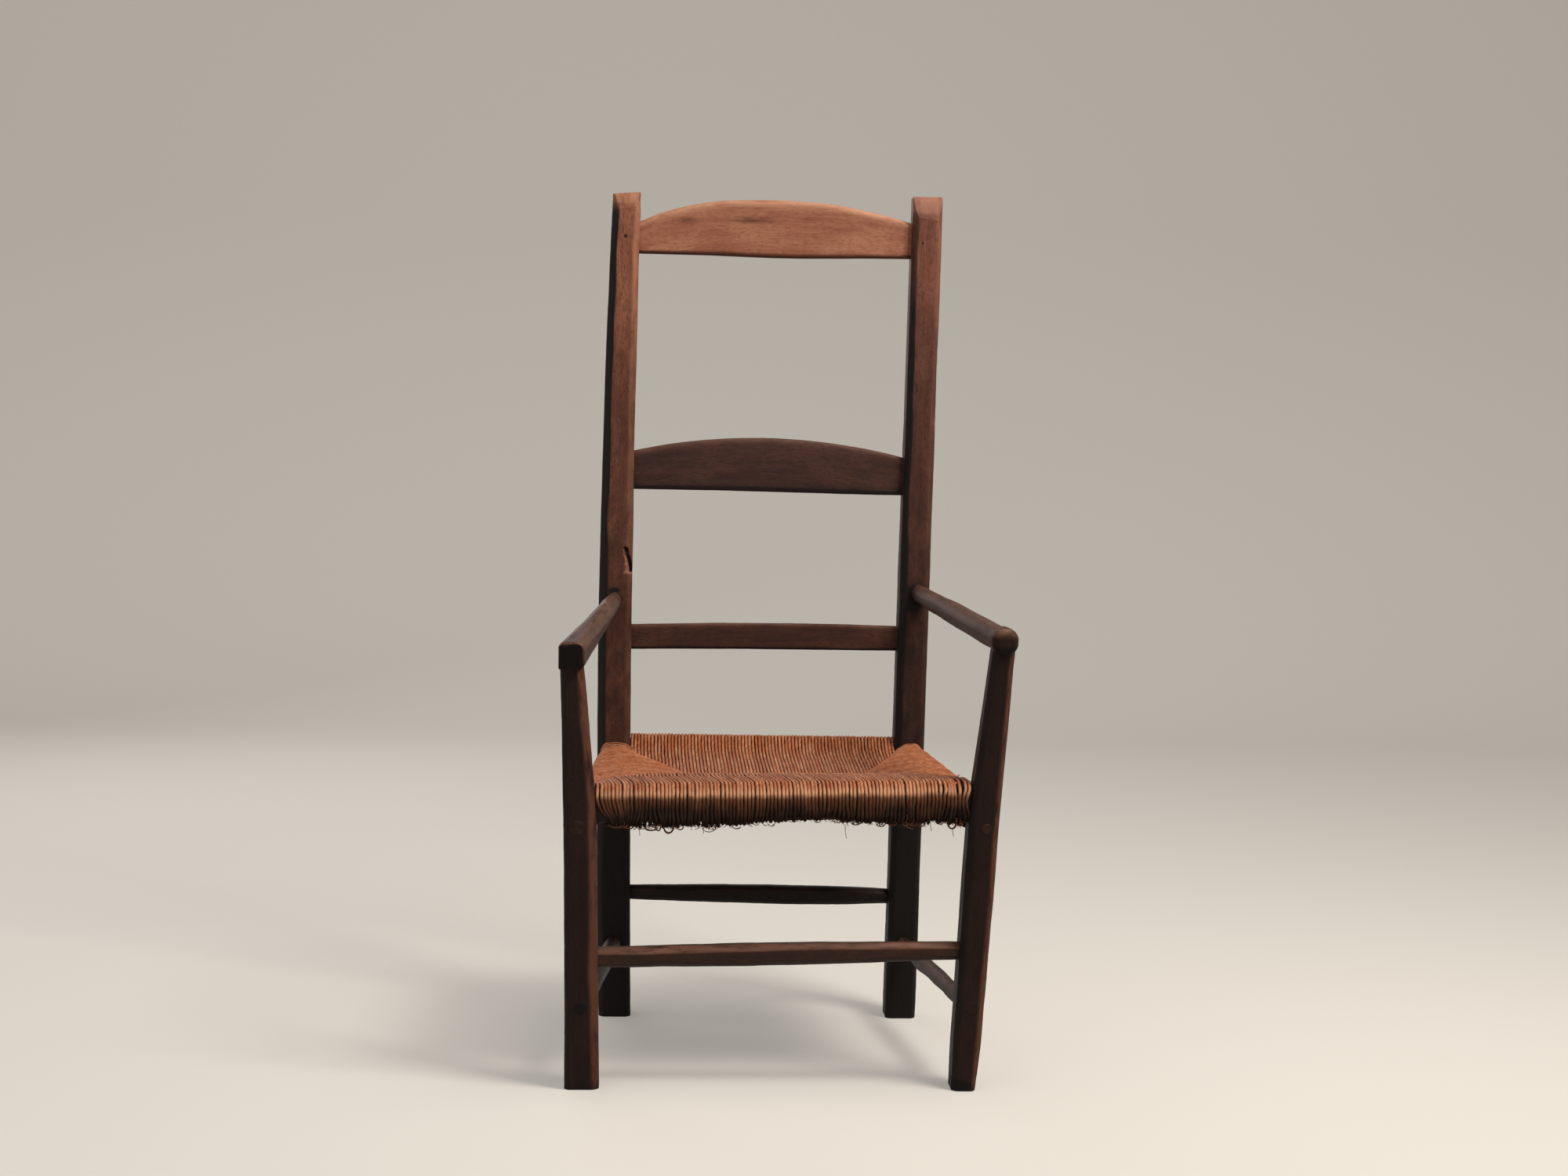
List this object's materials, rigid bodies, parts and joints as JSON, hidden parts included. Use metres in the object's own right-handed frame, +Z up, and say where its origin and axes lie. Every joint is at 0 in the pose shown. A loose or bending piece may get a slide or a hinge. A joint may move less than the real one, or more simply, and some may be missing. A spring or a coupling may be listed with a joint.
{
  "type": "ladderback armchair",
  "caption": "Rustic ladderback armchair: squared posts and legs, slatted back, bare wooden arms, plain stretchers and a woven rush seat.",
  "frame": {"origin": "on the floor, under the centre of the chair", "axes": "+X to the right as seen from the front, +Y to the back, +Z up"},
  "size_m": [0.5536, 0.4931, 1.12],
  "materials": {
    "wood": "worn, waxed fruitwood",
    "rush": "twisted dried rush"
  },
  "bodies": {
    "root": {"back_post_left": "wood", "back_post_right": "wood", "front_leg_left": "wood", "front_leg_right": "wood", "top_slat": "wood", "middle_slat": "wood", "lower_slat": "wood", "slat_pegs": "wood", "arm_left": "wood", "arm_right": "wood", "seat_rail_front": "wood", "seat_rail_right": "wood", "seat_rail_back": "wood", "seat_rail_left": "wood", "stretcher_front": "wood", "stretcher_back": "wood", "stretcher_left": "wood", "stretcher_right": "wood", "rush_front": "rush", "rush_right": "rush", "rush_back": "rush", "rush_left": "rush", "rush_padding": "rush"}
  },
  "joints": []
}
